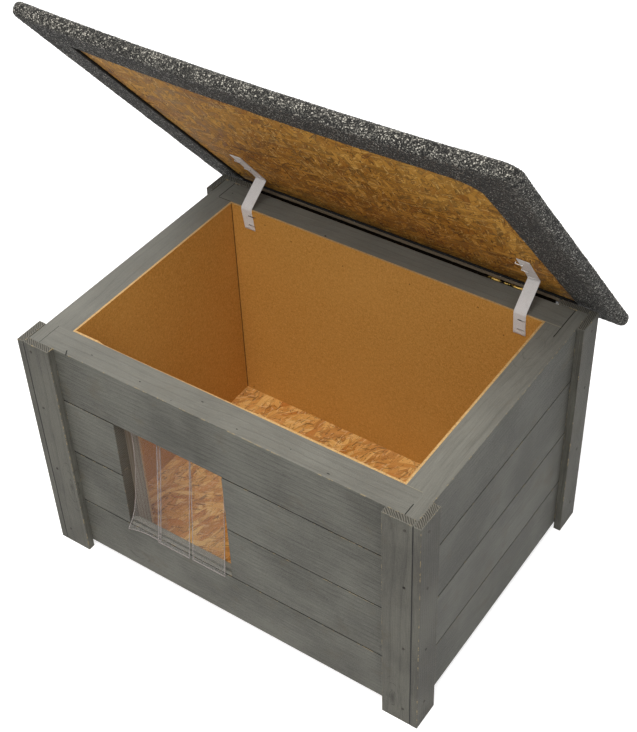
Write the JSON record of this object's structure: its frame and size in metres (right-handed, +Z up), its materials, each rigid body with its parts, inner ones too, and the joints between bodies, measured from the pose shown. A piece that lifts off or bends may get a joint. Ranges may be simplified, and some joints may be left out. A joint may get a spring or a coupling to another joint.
{
  "type": "dog house",
  "caption": "Insulated timber dog house with a clear strip-curtain doorway and a hinged, felt-covered lid that lifts on webbing straps.",
  "frame": {"origin": "on the ground, at the centre of the walls' footprint", "axes": "+X to the right of the doorway side, +Y to the back where the hinge is, +Z up"},
  "size_m": [0.675, 0.5039, 0.8105],
  "materials": {
    "stained_wood": "stained",
    "batten_wood": "stained",
    "foam": "matte",
    "hardboard": "smooth",
    "floor_osb": "rough",
    "lid_osb": "rough",
    "roofing_felt": "granular",
    "packer_ply": "rough",
    "hinge_brass": "satin",
    "steel": "dull",
    "webbing": "woven",
    "clear_strip": "clear"
  },
  "bodies": {
    "house": {"back_insulation": "foam", "back_left_back_board": "stained_wood", "back_left_side_board": "stained_wood", "back_lining": "hardboard", "back_plank_bottom": "stained_wood", "back_plank_lower": "stained_wood", "back_plank_top": "stained_wood", "back_plank_upper": "stained_wood", "back_right_back_board": "stained_wood", "back_right_side_board": "stained_wood", "back_top_batten": "batten_wood", "board_nails": "steel", "bottom_battens": "batten_wood", "floor_panel": "floor_osb", "front_insulation": "foam", "front_left_front_board": "stained_wood", "front_left_side_board": "stained_wood", "front_lining": "hardboard", "front_plank_bottom": "stained_wood", "front_plank_lower_left": "stained_wood", "front_plank_lower_right": "stained_wood", "front_plank_top": "stained_wood", "front_plank_upper_left": "stained_wood", "front_plank_upper_right": "stained_wood", "front_right_front_board": "stained_wood", "front_right_side_board": "stained_wood", "front_top_batten": "batten_wood", "hinge_leaf_wall": "hinge_brass", "hinge_packer_wall": "packer_ply", "hinge_pin": "hinge_brass", "hinge_screws_wall": "steel", "left_insulation": "foam", "left_lining": "hardboard", "left_plank_bottom": "stained_wood", "left_plank_lower": "stained_wood", "left_plank_top": "stained_wood", "left_plank_upper": "stained_wood", "left_top_batten": "batten_wood", "lintel_batten": "batten_wood", "right_insulation": "foam", "right_lining": "hardboard", "right_plank_bottom": "stained_wood", "right_plank_lower": "stained_wood", "right_plank_top": "stained_wood", "right_plank_upper": "stained_wood", "right_top_batten": "batten_wood", "strap_left": "webbing", "strap_right": "webbing", "strap_staples_house": "steel", "strip_heads": "clear_strip", "upright_battens": "batten_wood"},
    "lid": {"lid_board": "lid_osb", "lid_felt": "roofing_felt", "hinge_packer_lid": "packer_ply", "hinge_leaf_lid": "hinge_brass", "hinge_screws_lid": "steel", "strap_staples_lid": "steel"},
    "strip_left": {"door_strip_left": "clear_strip"},
    "strip_middle": {"door_strip_middle": "clear_strip"},
    "strip_right": {"door_strip_right": "clear_strip"}
  },
  "joints": [
    {"name": "lid_hinge", "type": "hinge", "parent": "house", "child": "lid", "pos_m": [0, 0.2225, 0.3843], "axis": [1, 0, 0], "range_deg": [0, 50], "deforming": ["strap_left", "strap_right"]},
    {"name": "strip_middle_swing", "type": "hinge", "parent": "house", "child": "strip_middle", "pos_m": [0, -0.1964, 0.2953], "axis": [-1, 0, 0], "range_deg": [0, 75]},
    {"name": "strip_left_swing", "type": "hinge", "parent": "house", "child": "strip_left", "pos_m": [0, -0.1964, 0.2953], "axis": [-1, 0, 0], "range_deg": [0, 75]},
    {"name": "strip_right_swing", "type": "hinge", "parent": "house", "child": "strip_right", "pos_m": [0, -0.1964, 0.2953], "axis": [-1, 0, 0], "range_deg": [0, 75]}
  ],
  "couplings": [
    {"joint": "strip_left_swing", "follows": "strip_middle_swing", "ratio": 1}
  ]
}
